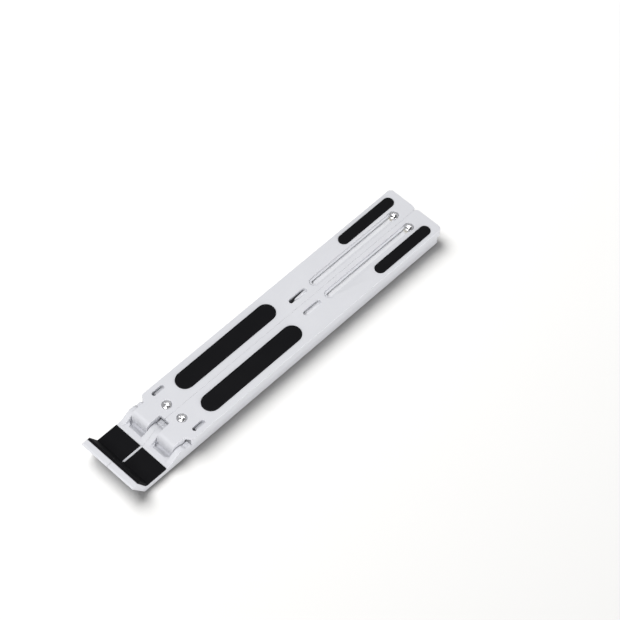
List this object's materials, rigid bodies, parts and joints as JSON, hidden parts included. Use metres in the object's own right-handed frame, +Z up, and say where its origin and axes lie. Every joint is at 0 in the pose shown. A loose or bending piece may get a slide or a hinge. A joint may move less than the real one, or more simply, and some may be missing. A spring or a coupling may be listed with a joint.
{
  "type": "folding laptop stand",
  "caption": "Slim folding laptop stand: two hooked base arms with hinged upper arms and props, joined by crossed bars that slide in slots.",
  "frame": {"origin": "centre of the folded stand's footprint, on the surface that its feet stand on", "axes": "+Y from the hooks to the far end, +X to the right half, +Z up"},
  "size_m": [0.0444, 0.2638, 0.0154],
  "materials": {
    "white_plastic": "satin moulded ABS",
    "inner_plastic": "plain moulded ABS",
    "silicone": "smooth matt silicone",
    "foot_rubber": "matt rubber",
    "screw_steel": "bright nickel plate",
    "pin_steel": "drawn steel",
    "nylon": "natural nylon"
  },
  "bodies": {
    "left_base": {"base_arm_left": "white_plastic", "hook_pad_left": "silicone", "front_foot_left": "foot_rubber", "rear_foot_left": "foot_rubber", "hinge_pin_left": "pin_steel"},
    "left_upper": {"upper_arm_left": "white_plastic", "front_strip_left": "silicone", "rear_strip_left": "silicone", "strut_pin_left": "pin_steel"},
    "left_prop": {"strut_left": "inner_plastic", "foot_pin_left": "pin_steel"},
    "first_bar": {"upper_bar": "inner_plastic", "upper_bar_washers": "nylon", "near_screw_left": "screw_steel", "far_screw_right": "screw_steel", "bar_rivet": "pin_steel"},
    "second_bar": {"lower_bar": "inner_plastic", "lower_bar_washers": "nylon", "near_screw_right": "screw_steel", "far_screw_left": "screw_steel"},
    "right_upper": {"upper_arm_right": "white_plastic", "front_strip_right": "silicone", "rear_strip_right": "silicone", "strut_pin_right": "pin_steel"},
    "right_base": {"base_arm_right": "white_plastic", "hook_pad_right": "silicone", "front_foot_right": "foot_rubber", "rear_foot_right": "foot_rubber", "hinge_pin_right": "pin_steel"},
    "right_prop": {"strut_right": "inner_plastic", "foot_pin_right": "pin_steel"}
  },
  "joints": [
    {"name": "lift", "type": "hinge", "parent": "left_base", "child": "left_upper", "pos_m": [-0.01075, -0.092, 0.0062], "axis": [1, 0, 0], "range_deg": [0, 35]},
    {"name": "left_prop_swing", "type": "hinge", "parent": "left_upper", "child": "left_prop", "pos_m": [-0.016, 0.012, 0.0062], "axis": [1, 0, 0], "range_deg": [-70, 0]},
    {"name": "spread", "type": "hinge", "parent": "left_upper", "child": "first_bar", "pos_m": [-0.00648, -0.0776, 0.0099], "axis": [0, 0, -1], "range_deg": [0, 46.5]},
    {"name": "bars_cross", "type": "hinge", "parent": "first_bar", "child": "second_bar", "pos_m": [0, 0.02025, 0.0091], "axis": [0, 0, 1], "range_deg": [0, 93]},
    {"name": "right_upper_turn", "type": "hinge", "parent": "second_bar", "child": "right_upper", "pos_m": [0.00648, -0.0776, 0.0099], "axis": [0, 0, -1], "range_deg": [0, 46.5]},
    {"name": "right_base_hinge", "type": "hinge", "parent": "right_upper", "child": "right_base", "pos_m": [0.01075, -0.092, 0.0062], "axis": [1, 0, 0], "range_deg": [-35, 0]},
    {"name": "right_prop_swing", "type": "hinge", "parent": "right_upper", "child": "right_prop", "pos_m": [0.016, 0.012, 0.0062], "axis": [1, 0, 0], "range_deg": [-70, 0]}
  ],
  "couplings": [
    {"joint": "left_prop_swing", "follows": "lift", "ratio": -2},
    {"joint": "bars_cross", "follows": "spread", "ratio": 2},
    {"joint": "right_upper_turn", "follows": "spread", "ratio": 1},
    {"joint": "right_base_hinge", "follows": "lift", "ratio": -1},
    {"joint": "right_prop_swing", "follows": "lift", "ratio": -2}
  ]
}
